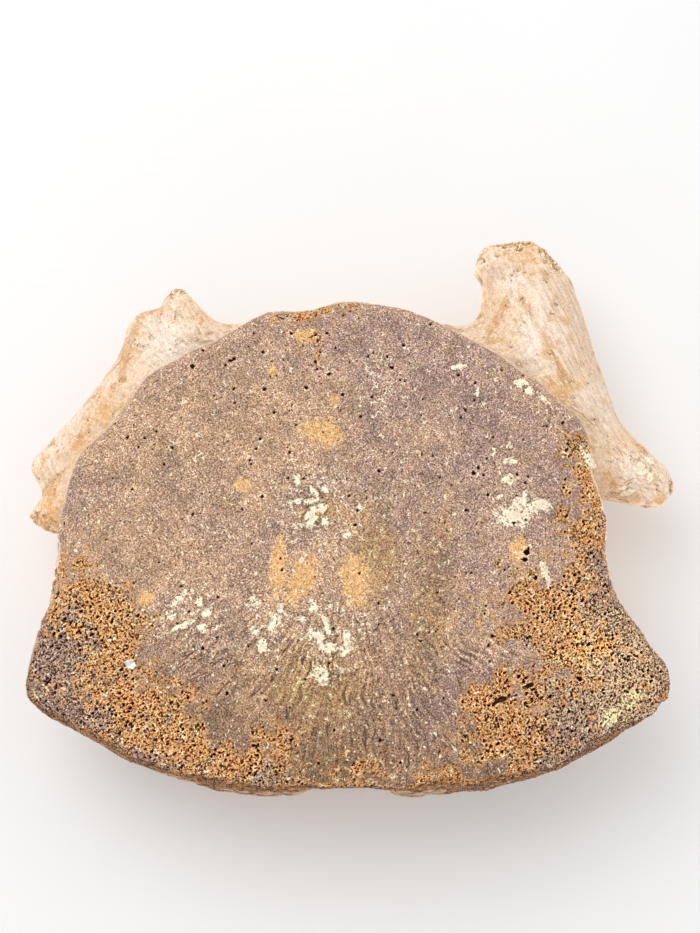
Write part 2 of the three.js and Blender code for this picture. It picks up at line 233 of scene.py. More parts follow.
# Painted shade along the creases of the arch stumps: points in pixels and half width
CREASE_SHADE_LINES = [
    ([(552, 350), (557, 364), (563, 378)], 0.9),
    ([(570, 407), (583, 415), (594, 426)], 0.9),
    ([(606, 440), (622, 452), (640, 462)], 0.8),
    ([(620, 478), (628, 481), (634, 478), (646, 480), (658, 486)], 0.8),
    ([(176, 310), (175, 319)], 1.4),
]
# Large pores: middle in pixels and radius in millimetres
PORES = [
    (527, 552, 0.75), (525, 559, 0.6), (537, 578, 0.5), (291, 333, 0.45), (392, 367, 0.5), (306, 387, 0.5),
    (264, 388, 0.5), (343, 394, 0.5), (329, 374, 0.45), (192, 366, 0.45), (404, 345, 0.4), (274, 412, 0.4),
    (203, 350, 0.4), (315, 361, 0.35), (203, 648, 0.5), (227, 693, 0.45), (493, 636, 0.5), (489, 645, 0.4),
    (580, 678, 0.6), (474, 473, 0.4), (517, 474, 0.4), (526, 483, 0.35), (466, 510, 0.4), (445, 522, 0.35),
]
PORE_DEPTH = 2.6  # in radii
# Small pores scattered at random: how many, where in the photo's pixels, and their radii in millimetres
SCATTERED_PORES = 420
PORE_ROWS = (300, 780)
PORE_COLUMNS = (60, 640)
CROWDED_ABOVE = 480  # they lie closer together above this row
CROWDING = (0.9, 0.55)
PORE_RADII = (0.16, 0.38)
PORE_SEED = 11
# Cracks: points in pixels and half width in millimetres
CRACKS = [
    ([(494, 704), (504, 698), (517, 695)], 0.5),
    ([(529, 686), (532, 685)], 0.6),
]
CRACK_DEPTH = 1.4
GROOVE_CENTRE = (345, 545)  # the grooves of the lower half run out from here, in pixels
GROOVE_TURN = 0.034  # radians from one groove to the next
GROOVE_LENGTH = 16
GROOVE_BEND = 1.3
ZONE_BLUR = 50  # the zones' borders are this wide, in pixels
LARGE_CELL = 1.6  # open cells of the spongy bone
SMALL_CELL = 0.95
RIM_WEAR_HEIGHTS = (57, 5)  # the rims are worn in places at these heights
# Broken ends of the arch stumps: place and reach in millimetres
BROKEN_SPOTS = {
    "left peak": (-58, 76, 34, 7),
    "left tip": (-101, -8, 35, 9),
    "right peak": (52, 93, 33, 14),
    "right shoulder": (66, 88, 33, 14),
    "right tip": (104, 6, 34, 6),
}
# Openings of blood vessels: direction from the axis in degrees, height and radius
FORAMINA = [
    (83, 33, 3.4), (98, 31, 2.8), (72, 22, 1.4), (105, 40, 0.9), (111, 25, 1.2), (76, 41, 0.8),
    (93, 17, 0.8),
    (262, 31, 2.2), (281, 35, 2.7), (250, 27, 1.5), (271, 22, 0.9), (292, 26, 1.0),
    (186, 27, 2.0), (-8, 30, 2.3), (152, 22, 1.6), (27, 20, 1.7), (140, 33, 0.9), (38, 34, 1.0),
]
FORAMEN_DEPTH = 1.6  # in radii
# Heights and depths of the relief in millimetres
FINE_GRAIN_HEIGHT = 0.13
BROAD_GRAIN_HEIGHT = 0.2
GROOVE_HEIGHT = 0.42
GROOVE_LINE_DEPTH = 0.36
RUST_DEPTH = 0.15
STRIATION_HEIGHT = 0.16
SIDE_WAVE_HEIGHT = 0.25
EROSION_DEPTH = 0.55  # the zones of bare spongy bone lie this much lower
CRUMB_HEIGHT = 0.3
CELL_DEPTH = 1.2
FRONT_CELL_EXTRA = 0.5  # the cells of the front face are deeper by this
TORN_DEPTH = 0.3
TORN_CRUMB_HEIGHT = 0.7
SCAB_HEIGHT = 0.35
CHIP_COVER = 1.8  # no cell is open under a crust as thick as this
# Depths at which the painted shade of an opening is fully dark
PORE_DARK = 0.8
CRACK_DARK = 2.2
FORAMEN_DARK = 2.5
CAVITY_ROUNDS = 6  # how far round a point its hollowness is measured
# Hollowness over which the painted shade in hollows turns into painted highlight on what stands out
CAVITY_SPAN = 0.6
ARCH_GRAIN = np.array([-0.42, 0.907, 0])  # the lines on the arch stumps run this way
ARCH_GRAIN_TURN = math.atan2(0.42, 0.907)
ARM_GRAIN_TURN = math.atan2(-0.62, 0.78)  # and so on the left one's lower arm
PROCESS_GRAIN_TURN = math.atan2(0.78, 0.62)  # and so on the right one's side process

LINE_WIDTH = 0.75
LINE_STRETCH = 9

# Sizes of the colours' grain in millimetres
FINE = 0.45
SMALL = 0.7
FLECKS = 1.8
MEDIUM = 2.6
COARSE = 7
MOTTLE = 26
GRAIN_TURN = (0.6, 0.4, 0.9)  # radians, so that no grain lines up with the picture
# Colours of the marked places of the arch stumps, and how strong they are
ARCH_COLOURS = [
    ("dull", "d6b698", 0.5),
    ("ochre", "e8b070", 0.85),
    ("vein", "d39f66", 0.7),
    ("pale", "fff2e3", 0.7),
]
# Colours of spongy bone, from the top of the walls down to the bottom of the holes: each hue steps from a
# painted highlight on the walls down to painted shade in the holes
SPONGY_SHADE_STEPS = (0.25, 0.5, 0.8, 1.1)
ORANGE_LIT_TO_SHADED = ("ffcf98", "d88c44", "984e18", "522810", "241008")
GOLD_LIT_TO_SHADED = ("ffd8a0", "d4984c", "945c1e", "503214", "24160a")
DRAB_LIT_TO_SHADED = ("dcbda6", "926d5c", "64483b", "3c271d", "1e120c")
CORNER_GAIN = (1.5, 1.58, 1.35, 1)  # the right corner is lighter and more olive
# Colours of the joint face, from dark to light where there are three
MAUVE_TONES = ("553c34", "a9887e", "fde0ca")
TAN_TONES = ("5e4030", "bd9577", "ffe4bc")
RUST_TONES = ("a86c34", "ecb67b", "ffe8b4")
ORANGE_FLECKS = "e2ab72"
DARK_FLECKS = "6b5040"
WHITE_SPECKS = "f6ecdc"
OLIVE_WASH = "e2cf98"
OLIVE_SPECKS = "d2ba82"
# Colour that darkens the front face towards its bottom
BOTTOM_DARKENING = "8a6d5c"
RUST_HALO = "d29c64"
# Colours of the arch stumps and the sides
DARK_CREAM = "f6d4b2"
LIGHT_CREAM = "fde5cf"
SIDE_OCHRE = "e5b680"
SIDE_DRAB = "c6a68e"
SIDE_STAIN = "b58d68"
TORN_TONES = ("8e6844", "d3a67a", "f8dcb4")
DARK_LINE = "c0946e"
LIGHT_LINE = "fff3e2"
# Painted shade in the creases of the arch stumps
CREASE_SHADE = "7a5a40"
# Colours of crusts, and painted shade in openings
CRUST_TONES = ("cdb084", "f8eac6", "fffdf0")
PINK_CRUST = "f3dfca"
YELLOW_CRUST = "e4d48c"
WHITE_CHIP = "ffffff"
OPENING_SHADE = "20120a"
# Painted shade along the grooves' lines
GROOVE_SHADE = "4a3628"
LOWER_SIDE_WASH = "a08468"
# Painted shade of tiny pores that the mesh doesn't carry
FINE_PORE_SHADE = "3a261a"

# Stage
FLOOR_HALF = 1.5
SKY_STRENGTH = 0.84
LIGHTS = [  # name, place, size and power
    ("key", (-0.3, 0.3, 0.9), 0.7, 2.5),
]


def smooth_step(values, low, high):
    share = np.clip((values - low) / (high - low), 0, 1)
    return share * share * (3 - 2 * share)


def waves(points, wave, octaves=1, seed=0):
    """Uneven waves about -1 to 1 high and of about the given length."""
    places = (np.asarray(points) / wave + 17.31 * seed).tolist()
    return np.array([noise.fractal(place, 1.0, 2.0, octaves) for place in places])


def cells(points, size, seed=0):
    """Distances to the nearest and next nearest of points scattered about one size apart, in sizes."""
    places = (np.asarray(points) / size + 9.77 * seed).tolist()
    return np.array([noise.voronoi(place)[0][:2] for place in places])


def photo_place(points):
    """Pixel of the photo that shows each point, given in millimetres."""
    from_eye = points * MM - np.array(EYE)
    depth = -(from_eye @ np.array(BACK))
    across = PHOTO_WIDTH / 2 + FOCAL_PX * (from_eye @ np.array(RIGHT)) / depth
    down = PHOTO_HEIGHT / 2 - FOCAL_PX * (from_eye @ np.array(UP)) / depth
    return np.stack([across, down], axis=1)


def depth_inside(places, outline):
    """Distance to an outline, over 0 inside it."""
    corners = np.array(outline, float)
    nearest = np.full(len(places), np.inf)
    inside = np.zeros(len(places), bool)
    for start, end in zip(corners, np.roll(corners, -1, axis=0)):
        nearest = np.minimum(nearest, line_distance(places, start, end))
        crosses = (start[1] > places[:, 1]) != (end[1] > places[:, 1])
        rise = end[1] - start[1] if end[1] != start[1] else 1
        share = (places[:, 1] - start[1]) / rise
        inside ^= crosses & (places[:, 0] < start[0] + share * (end[0] - start[0]))
    return np.where(inside, nearest, -nearest)


def line_distance(places, start, end):
    along = np.subtract(end, start).astype(float)
    from_start = places - np.array(start, float)
    share = np.clip(from_start @ along / (along @ along), 0, 1)
    return np.linalg.norm(from_start - share[:, None] * along, axis=1)


def oval(places, middle_x, middle_y, half_x, half_y, turn):
    """1 in the middle of an oval, 0 on its edge, and under 0 outside it."""
    angle = math.radians(turn)
    x = places[:, 0] - middle_x
    y = places[:, 1] - middle_y
    along = x * math.cos(angle) + y * math.sin(angle)
    across = y * math.cos(angle) - x * math.sin(angle)
    return 1 - np.hypot(along / half_x, across / half_y)


# Skin

def fused_solids():
    """One mesh of all the solids, swollen a little so that the cuts between them close."""
    joined = bmesh.new()
    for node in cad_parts.values():
        joined.from_mesh(node.data)
    bmesh.ops.remove_doubles(joined, verts=joined.verts, dist=1e-6)
    joined.normal_update()
    shifts = [vertex.normal * SWELL for vertex in joined.verts]
    for vertex, shift in zip(joined.verts, shifts):
        vertex.co += shift
    mesh = bpy.data.meshes.new("fused_solids")
    joined.to_mesh(mesh)
    joined.free()
    return mesh


def remeshed(mesh):
    """The outer surface of a mesh, in even squares."""
    body = bpy.data.objects.new("fused_solids", mesh)
    bpy.context.collection.objects.link(body)
    remesh = body.modifiers.new("even_squares", "REMESH")
    remesh.mode = "VOXEL"
    remesh.voxel_size = VOXEL
    graph = bpy.context.evaluated_depsgraph_get()
    result = bpy.data.meshes.new_from_object(body.evaluated_get(graph))
    bpy.data.objects.remove(body)
    return result


def read_points(mesh):
    values = np.empty(3 * len(mesh.vertices))
    mesh.vertices.foreach_get("co", values)
    return values.reshape(-1, 3)


def write_points(mesh, points):
    mesh.vertices.foreach_set("co", points.ravel())
    mesh.update()


def read_normals(mesh):
    values = np.empty(3 * len(mesh.vertices))
    mesh.vertex_normals.foreach_get("vector", values)
    return values.reshape(-1, 3)


def read_edges(mesh):
    values = np.empty(2 * len(mesh.edges), dtype=np.int32)
    mesh.edges.foreach_get("vertices", values)
    return values.reshape(-1, 2)


def mean_of_neighbours(values, edges):
    count = np.bincount(edges.ravel(), minlength=len(values))
    totals = [
        np.bincount(edges[:, 0], column[edges[:, 1]], len(values))
        + np.bincount(edges[:, 1], column[edges[:, 0]], len(values))
        for column in values.T
    ]
    return np.stack(totals, axis=1) / count[:, None]


def smooth_mesh(mesh):
    """Rounds off the solids' facets without shrinking the shape, and takes the swelling back."""
    points = read_points(mesh)
    edges = read_edges(mesh)
    for _ in range(SMOOTH_ROUNDS):
        for share in (SMOOTH_SHARE, -SMOOTH_BACK):
            points = points + share * (mean_of_neighbours(points, edges) - points)
    write_points(mesh, points)
    write_points(mesh, points - SWELL * read_normals(mesh))


def unwrap(skin):
    """Unwraps the smooth shape, before the relief breaks it up."""
    skin.data.uv_layers.new(name="OFBake")
    bpy.context.view_layer.objects.active = skin
    skin.select_set(True)
    bpy.ops.object.mode_set(mode="EDIT")
    bpy.ops.mesh.select_all(action="SELECT")
    bpy.ops.uv.smart_project(angle_limit=math.radians(66), island_margin=0.002)
    bpy.ops.object.mode_set(mode="OBJECT")
    skin.select_set(False)


def refine(mesh, chosen):
    """Halves the squares between the chosen points."""
    refined = bmesh.new()
    refined.from_mesh(mesh)
    edges = [edge for edge in refined.edges if chosen[edge.verts[0].index] and chosen[edge.verts[1].index]]
    bmesh.ops.subdivide_edges(refined, edges=edges, cuts=1, use_grid_fill=True)
    refined.to_mesh(mesh)
    refined.free()


def facing_up(mesh):
    """All that faces up, where the photo shows fine detail."""
    return (read_normals(mesh)[:, 2] > 0.3) & (read_points(mesh)[:, 2] > REAR_EDGE * MM)


def near_spongy_zones(mesh):
    """The zones with the finest detail, and some way round them."""
    points = read_points(mesh) / MM
    places = photo_place(points)
    front, _ = face_masks(points, read_normals(mesh))
    zones = highest(depth_inside(places, outline) for outline in SPONGY_ZONES.values())
    return (front > 0.5) & (zones > -ZONE_BLUR / 2)


def make_skin():
    mesh = remeshed(fused_solids())
    smooth_mesh(mesh)
    skin = bpy.data.objects.new("vertebra_skin", mesh)
    bpy.context.collection.objects.link(skin)
    unwrap(skin)
    refine(mesh, facing_up(mesh))
    refine(mesh, near_spongy_zones(mesh))
    return skin


# Relief: each function gives one value for each point of the skin

def highest(layers):
    return np.max(np.stack(list(layers)), axis=0)


def face_masks(points, normals):
    """Where the skin is the front joint face, with the lower roots, and where it is the rear one."""
    height = points[:, 2]
    lower_half = smooth_step(-points[:, 1], -5, 15)
    edge = UPPER_FACE_EDGE + (LOWER_FACE_EDGE - UPPER_FACE_EDGE) * lower_half
    front = smooth_step(normals[:, 2], 0.3, 0.7) * smooth_step(height - edge, -1, 1)
    rear = smooth_step(-normals[:, 2], 0.3, 0.7) * smooth_step(REAR_EDGE - height, 0, 3)
    return front, rear


def from_middle(points):
    """Direction and distance of each point from the axis of the body, in radians and millimetres."""
    x = points[:, 0] - BODY_MIDDLE[0]
    y = points[:, 1] - BODY_MIDDLE[1]
    return np.arctan2(y, x), np.hypot(x, y)


def outside_body(points):
    """How far a point lies outside the body's oval outline."""
    angle, distance = from_middle(points)
    rim = 1 / np.hypot(np.cos(angle) / BODY_HALF[0], np.sin(angle) / BODY_HALF[1])
    return distance - rim


def arch_distance(points):
    """Distance to the boxes round the arch stumps."""
    distances = []
    for node in ("neural_arch_left", "neural_arch_right"):
        low, high = (np.array(corner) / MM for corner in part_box(node))
        beyond = np.maximum(np.maximum(low - points, points - high), 0)
        distances.append(np.linalg.norm(beyond, axis=1))
    return np.minimum(*distances)


def spongy_mask(points, normals, places, front):
    """Where the dense outer layer is gone: zones of the front face, the lower roots and worn rims."""
    ragged = 36 * waves(points, 14, 2, seed=1) + 36 * waves(points, 5, 3, seed=18)
    zones = highest(depth_inside(places, outline) for outline in SPONGY_ZONES.values())
    on_front = np.clip(0.5 + (zones + ragged) / ZONE_BLUR, 0, 1) * front
    low = smooth_step(-points[:, 1], 15, 25)
    on_roots = smooth_step(outside_body(points) + 0.2 * ragged, 0, 5) * low * (1 - front)
    lowest = smooth_step(-points[:, 1], 45, 60)
    on_lower_side = smooth_step(points[:, 2] + 0.2 * ragged, 36, 46) * lowest
    on_lower_side *= smooth_step(0.9 - normals[:, 2], 0, 0.3)
    from_rims = np.minimum(*(np.abs(points[:, 2] - height) for height in RIM_WEAR_HEIGHTS))
    on_rims = smooth_step(waves(points, 16, 3, seed=2) - 0.06 * from_rims, 0.0, 0.15) * (1 - front)
    at_outline = smooth_step(2 - np.abs(outside_body(points)), -2, 0)
    on_rims *= at_outline * smooth_step(arch_distance(points), 4, 9)
    return highest([on_front, on_roots, on_lower_side, on_rims])


def torn_mask(points):
    """Where the arch stumps broke off."""
    spots = np.array(list(BROKEN_SPOTS.values()))
    ends = highest(1 - np.linalg.norm(points - spot[:3], axis=1) / spot[3] for spot in spots)
    return smooth_step(ends + 0.5 * waves(points, 5, 3, seed=23), 0, 0.5)


def spongy_holes(points, spongy):
    """Open cells of the spongy bone: 1 at the bottom of a hole, 0 on top of the walls."""
    holes = np.zeros(len(points))
    some = spongy > 0.02
    here = points[some] + 0.5 * waves(points[some], 1.6, 1, seed=21)[:, None]
    large = cells(here, LARGE_CELL, seed=1)
    small = cells(here, SMALL_CELL, seed=2)
    open_share = smooth_step(waves(here, 7, 2, seed=3), -0.45, 0.25)
    large_holes = smooth_step(0.38 - large[:, 0], 0, 0.22) * (0.35 + 0.65 * open_share)
    small_holes = smooth_step(0.4 - small[:, 0], 0, 0.28) * 0.5
    holes[some] = np.maximum(large_holes, small_holes) * smooth_step(spongy[some], 0.3, 0.7)
    return holes


def stain_mask(places, stains):
    """Soft ovals: over 0.5 inside, under it outside."""
    return np.clip(0.5 + 0.6 * highest(oval(places, *stain) for stain in stains.values()), 0, 1)


def line_mask(places, lines):
    """1 on the lines, 0 beyond their width."""
    layers = []
    for route, half_width in lines:
        for start, end in zip(route, route[1:]):
            layers.append(1 - line_distance(places, start, end) / half_width)
    return smooth_step(highest(layers), 0, 0.8)


def crust_field(places):
    """How thickly mineral crusts cover the face: solid over about 0.7, scattered flecks below."""
    crusts = CRUSTS.values()
    return highest(cover * smooth_step(oval(places, *place), -0.9, 0.6) for *place, cover in crusts)


def all_pores():
    """The large pores that the photo shows, and small ones scattered over the face."""
    draw = np.random.default_rng(PORE_SEED)
    pores = list(PORES)
    while len(pores) < len(PORES) + SCATTERED_PORES:
        down = draw.uniform(*PORE_ROWS)
        across = draw.uniform(*PORE_COLUMNS)
        crowding = CROWDING[0] if down < CROWDED_ABOVE else CROWDING[1]
        radius = draw.uniform(*PORE_RADII)
        if draw.random() < crowding:
            pores.append((across, down, radius))
    return pores


def pore_depth(points, places, front):
    depth = np.zeros(len(places))
    wobble = 1 + 0.7 * waves(points, 0.9, 1, seed=22)
    for across, down, radius in all_pores():
        near = np.flatnonzero(np.abs(places - (across, down)).max(axis=1) < 3 * radius * PX_PER_MM)
        distance = np.linalg.norm(places[near] - (across, down), axis=1) / PX_PER_MM / radius * wobble[near]
        pit = PORE_DEPTH * radius * smooth_step(1.5 - distance, 0, 0.8)
        depth[near] = np.maximum(depth[near], pit)
    return depth * front


def crack_depth(points, places, front):
    wander = 3 * waves(points, 4, 2, seed=7)
    depth = np.zeros(len(points))
    for route, half_width in CRACKS:
        for start, end in zip(route, route[1:]):
            off = np.abs(line_distance(places, start, end) + wander) / PX_PER_MM / half_width
            depth = np.maximum(depth, CRACK_DEPTH * smooth_step(1.2 - off, 0, 0.7))
    return depth * front


def groove_waves(points, places, front):
    """Fine ridges and lines of the lower half that run out from the middle of the face. The lines are cut in,
    and their colour is painted shade.
    """
    out = places - GROOVE_CENTRE
    angle = np.arctan2(out[:, 1], out[:, 0])
    distance = np.hypot(out[:, 0], out[:, 1]) / PX_PER_MM
    bend = waves(points, 10, 2, seed=8)
    spread = np.stack([angle / GROOVE_TURN + GROOVE_BEND * bend, distance / GROOVE_LENGTH, 0 * angle], axis=1)
    swell = waves(spread, 1, 2, seed=9)
    gaps = smooth_step(waves(points, 6, 2, seed=10), -0.1, 0.25)
    lines = smooth_step(0.09 - np.abs(swell), 0, 0.07) * gaps
    share = smooth_step(places[:, 1], 560, 660) * smooth_step(distance, 8, 25) * front
    return swell * share, lines * share


def striations(points):
    """Fine lines along the arch stumps, and up and down the sides of the body."""
    along = points @ ARCH_GRAIN
    across = points @ np.array([ARCH_GRAIN[1], -ARCH_GRAIN[0], 0])
    arch = waves(np.stack([across / 1.5, along / 14, points[:, 2] / 2], axis=1), 1, 2, seed=11)
    angle, distance = from_middle(points)
    body = waves(np.stack([50 * angle, distance / 6, points[:, 2] / 14], axis=1), 1, 2, seed=12)
    on_arch = smooth_step(outside_body(points), 0, 6)
    return on_arch * arch + (1 - on_arch) * body


def foramen_depth(points, front, rear):
    """Openings of blood vessels in the sides of the body."""
    angle, distance = from_middle(points)
    depth = np.zeros(len(points))
    for turn, height, radius in FORAMINA:
        off_turn = (angle - math.radians(turn) + math.pi) % (2 * math.pi) - math.pi
        off = np.hypot(off_turn * distance, points[:, 2] - height) / radius
        depth = np.maximum(depth, FORAMEN_DEPTH * radius * smooth_step(1.25 - off, 0, 0.9))
    return depth * (1 - front) * (1 - rear) * smooth_step(4 - outside_body(points), 0, 4)


def hollowness(mesh, points, normals):
    """How far each point stands out from those around it, under 0 in hollows."""
    edges = read_edges(mesh)
    around = points
    for _ in range(CAVITY_ROUNDS):
        around = mean_of_neighbours(around, edges)
    return np.sum((points - around) * normals, axis=1)


def add_relief(mesh):
    """Moves the skin's points along their normals, and gives the masks that the finish is painted by."""
    points = read_points(mesh) / MM
    normals = read_normals(mesh)
    places = photo_place(points)
    front, rear = face_masks(points, normals)
    side = (1 - front) * (1 - rear)

    spongy = spongy_mask(points, normals, places, front)
    torn = torn_mask(points) * side * (1 - spongy)
    rust = stain_mask(places, RUST_STAINS) * front
    upper = smooth_step(normals[:, 2], 0.0, 0.4) * side
    crust = crust_field(places) * smooth_step(front + upper, 0.1, 0.5)
    hole = spongy_holes(points, spongy) * smooth_step(CHIP_COVER - crust, 0, 0.4)
    pore = pore_depth(points, places, front)
    crack = crack_depth(points, places, front)
    swell, line = groove_waves(points, places, front)
    foramen = foramen_depth(points, front, rear)
    scab = smooth_step(crust + 0.7 * waves(points, 1.8, 2, seed=24), 0.55, 0.95)
    bare = (1 - spongy) * (1 - scab)

    grain = FINE_GRAIN_HEIGHT * waves(points, 1.3, 2, seed=13)
    grain += BROAD_GRAIN_HEIGHT * waves(points, 4.5, 2, seed=14)
    joint_face = (front + rear) * bare * grain
    joint_face += bare * (GROOVE_HEIGHT * swell - GROOVE_LINE_DEPTH * line) - RUST_DEPTH * rust
    side_waves = STRIATION_HEIGHT * striations(points) + SIDE_WAVE_HEIGHT * waves(points, 8, 2, seed=15)
    smooth_bone = side * (1 - spongy) * side_waves
    crumbs = waves(points, 1.2, 2, seed=16)
    cell_depth = CELL_DEPTH + FRONT_CELL_EXTRA * front
    eroded = spongy * (CRUMB_HEIGHT * crumbs - EROSION_DEPTH - cell_depth * hole)
    eroded += torn * (TORN_CRUMB_HEIGHT * crumbs - TORN_DEPTH)
    raised = SCAB_HEIGHT * scab
    offset = joint_face + smooth_bone + eroded + raised - pore - crack - foramen

    moved = points + normals * offset[:, None]
    moved[:, 2] = np.maximum(moved[:, 2], 0)
    write_points(mesh, moved * MM)
    # Painted shade in hollows under 0.5, painted highlight on what stands out over it
    hollow_shade_and_highlight = 0.5 + hollowness(mesh, moved, normals) / CAVITY_SPAN

    grey_zones = highest(depth_inside(places, outline) for outline in GREY_ZONES.values())
    grey = np.clip(0.5 + grey_zones / ZONE_BLUR, 0, 1)
    # Darker towards the bottom of the front face
    darker_towards_bottom = smooth_step(places[:, 1] + 60 * waves(points, 40, 2, seed=20), 600, 790) * front
    # Painted shade of pores, cracks and foramina, darker the deeper they are
    deep = np.clip(pore / PORE_DARK + crack / CRACK_DARK + foramen / FORAMEN_DARK, 0, 1)
    under = smooth_step(-points[:, 1], 40, 70) * smooth_step(0.8 - normals[:, 2], 0, 0.4)
    return {
        "front": front, "rear": rear, "spongy": spongy, "hole": deep, "hollow": hole, "rust": rust,
        "crust": crust, "line": line, "darker_towards_bottom": darker_towards_bottom, "grey": grey * front + (1 - front) * 0.55,
        "olive": stain_mask(places, OLIVE_TINTS) * front, "tan": stain_mask(places, TAN_TINTS) * front,
        "corner": stain_mask(places, CORNER_TINT) * front,
        "pale": stain_mask(places, PALE_SPOTS) * upper, "ochre": stain_mask(places, OCHRE_SPOTS) * upper,
        "vein": line_mask(places, OCHRE_LINES) * upper, "crease_shade": line_mask(places, CREASE_SHADE_LINES) * upper,
        "drum": smooth_step(6 - outside_body(points), 0, 6) * side, "under": under,
        "process": smooth_step(points[:, 0] - 0.5 * points[:, 1], 55, 75),
        "torn": torn, "dull": stain_mask(places, DULL_SPOTS) * upper,
        "arm": smooth_step(-points[:, 0], 74, 86), "hollow_shade_and_highlight": np.clip(hollow_shade_and_highlight, 0, 1),
    }


def store_masks(mesh, masks):
    for name, values in masks.items():
        layer = mesh.attributes.new(name, "FLOAT", "POINT")
        layer.data.foreach_set("value", values.astype(np.float32))


# Finish

def tone(code):
    """Linear colour of an sRGB code such as c8a088."""
    parts = [int(code[n:n + 2], 16) / 255 for n in (0, 2, 4)]
    return [part / 12.92 if part <= 0.04045 else ((part + 0.055) / 1.055) ** 2.4 for part in parts] + [1]


class Shader:
    """Adds nodes to one material, each with what it is fed."""

    def __init__(self, name):
        self.material = bpy.data.materials.new(name)
        self.material.use_nodes = True
        self.nodes = self.material.node_tree.nodes
        self.links = self.material.node_tree.links
        self.nodes.clear()
        self.grains = {}
        self.place = self.add("ShaderNodeTexCoord").outputs["Object"]
        turned = {"Vector": self.place, "Rotation": GRAIN_TURN}
        self.turned_place = self.add("ShaderNodeMapping", turned).outputs["Vector"]

    def add(self, kind, inputs=None, **settings):
        node = self.nodes.new(kind)
        for name, value in settings.items():
            setattr(node, name, value)
        for name, value in (inputs or {}).items():
            self.feed(node.inputs[name], value)
        return node

    def feed(self, socket, value):
        if isinstance(value, bpy.types.NodeSocket):
            self.links.new(value, socket)
        else:
            socket.default_value = value

    def mask(self, name):
        return self.add("ShaderNodeAttribute", attribute_name=name).outputs["Fac"]

    def grain(self, size_mm):
        """Grain about a size. Each size is made once, and shared."""
        if size_mm not in self.grains:
            self.grains[size_mm] = self.noise(self.turned_place, size_mm)
        return self.grains[size_mm]

    def noise(self, place, size_mm):
        inputs = {"Vector": place, "Scale": 1 / (size_mm * MM), "Detail": 3, "Roughness": 0.65}
        return self.add("ShaderNodeTexNoise", inputs).outputs["Fac"]

    def ridges(self, size_mm):
        """Over 0 away from thin lines that wind about, and 0 on them."""
        return self.math("ABSOLUTE", self.ramp_straight(self.grain(size_mm), -1, 1))

    def stretched(self, turn, longer):
        """The place, drawn out along a level direction."""
        inputs = {"Vector": self.place, "Rotation": (0, 0, turn), "Scale": (1, longer, 1)}
        return self.add("ShaderNodeMapping", inputs, vector_type="TEXTURE").outputs["Vector"]

    def wandering(self, size_mm, reach_mm):
        """The place, moved about unevenly."""
        inputs = {"Vector": self.place, "Scale": 1 / (size_mm * MM), "Detail": 1}
        shift = self.add("ShaderNodeTexNoise", inputs).outputs["Color"]
        inputs = {0: shift, 1: (0.5, 0.5, 0.5)}
        shift = self.add("ShaderNodeVectorMath", inputs, operation="SUBTRACT").outputs[0]
        inputs = {0: shift, 1: (2 * reach_mm * MM,) * 3, 2: self.place}
        return self.add("ShaderNodeVectorMath", inputs, operation="MULTIPLY_ADD").outputs[0]

    def dots(self, spacing_mm, place=None):
        """Distance to scattered points, in spacings."""
        inputs = {"Vector": place or self.place, "Scale": 1 / (spacing_mm * MM)}
        return self.add("ShaderNodeTexVoronoi", inputs).outputs["Distance"]

    def math(self, operation, first, second=0.0):
        node = self.add("ShaderNodeMath", {0: first, 1: second}, operation=operation)
        return node.outputs[0]

    def ramp(self, value, low, high, to_low=0.0, to_high=1.0):
        inputs = {"Value": value, "From Min": low, "From Max": high, "To Min": to_low, "To Max": to_high}
        return self.add("ShaderNodeMapRange", inputs, interpolation_type="SMOOTHSTEP").outputs["Result"]

    def blend(self, share, first, second, mode="MIX"):
        node = self.add("ShaderNodeMix", {0: share, 6: first, 7: second}, data_type="RGBA", blend_type=mode)
        return node.outputs[2]

    def times(self, first, second):
        return self.math("MULTIPLY", first, second)

    def broken(self, mask, amounts, low, high):
        """A soft mask with its border broken up by grain: how much of it for each size."""
        total = mask
        for size_mm, amount in amounts.items():
            total = self.math("ADD", total, self.ramp_straight(self.grain(size_mm), -amount, amount))
        return self.ramp(total, low, high)

    def ramp_straight(self, value, to_low, to_high):
        inputs = {"Value": value, "To Min": to_low, "To Max": to_high}
        return self.add("ShaderNodeMapRange", inputs).outputs["Result"]


def speckled(shader, tones):
    """Grainy colour of three tones."""
    dark, middle, light = (tone(code) for code in tones)
    grain = shader.grain(FINE)
    base = shader.blend(shader.ramp(grain, 0.5, 0.66), middle, light)
    return shader.blend(shader.ramp(grain, 0.34, 0.49), dark, base)


